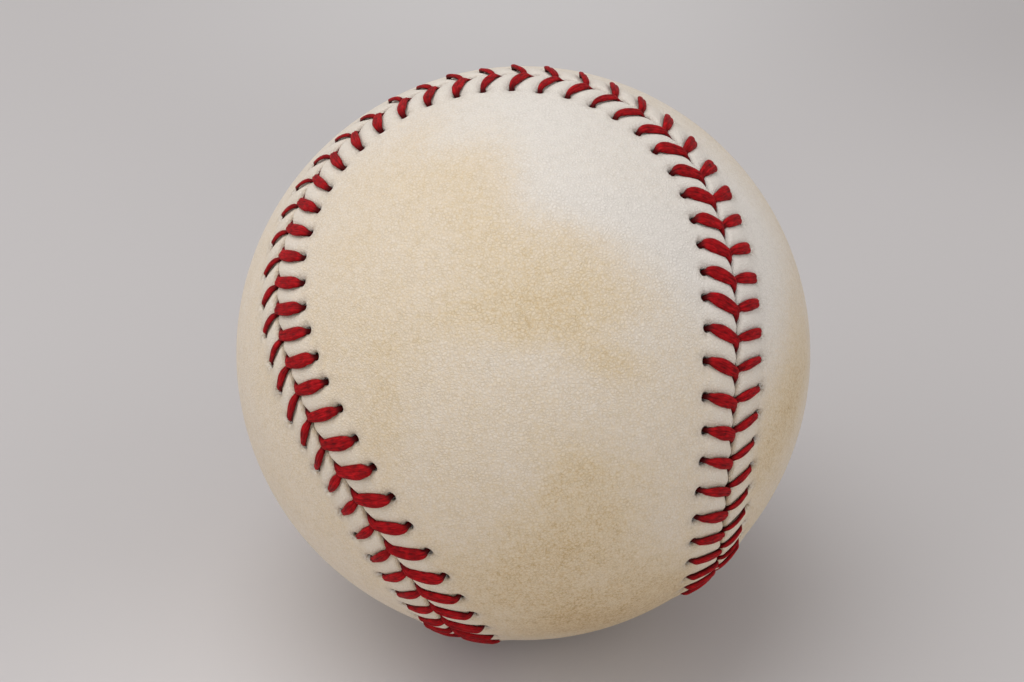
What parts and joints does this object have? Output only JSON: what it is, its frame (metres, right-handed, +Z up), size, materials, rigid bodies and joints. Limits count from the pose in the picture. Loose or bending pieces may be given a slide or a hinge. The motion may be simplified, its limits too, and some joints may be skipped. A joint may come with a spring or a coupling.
{
  "type": "baseball",
  "caption": "Hand-stitched ball with a cushioned cork centre, wound yarn layers and two leather panels laced along a curved seam.",
  "frame": {"origin": "the ball's centre", "axes": "+Z up and +Y away from the viewer as the ball is shown, so that one round lobe of the cover faces -Y and up"},
  "size_m": [0.0738, 0.0738, 0.0752],
  "materials": {
    "leather": "worn matte, with tan stains",
    "lacing_thread": "waxed twisted cotton",
    "cotton_yarn": "matte",
    "grey_wool": "matte",
    "white_wool": "matte",
    "red_rubber": "matte",
    "black_rubber": "matte",
    "cork": "pressed granules"
  },
  "bodies": {
    "root": {"cork_core": "cork", "upper_rubber_cup": "black_rubber", "lower_rubber_cup": "black_rubber", "cup_joint_ring": "red_rubber", "red_rubber_cover": "red_rubber", "inner_grey_winding": "grey_wool", "white_wool_winding": "white_wool", "outer_grey_winding": "grey_wool", "finishing_winding": "cotton_yarn", "first_leather_panel": "leather", "second_leather_panel": "leather", "first_lacing_thread": "lacing_thread", "second_lacing_thread": "lacing_thread"}
  },
  "joints": []
}
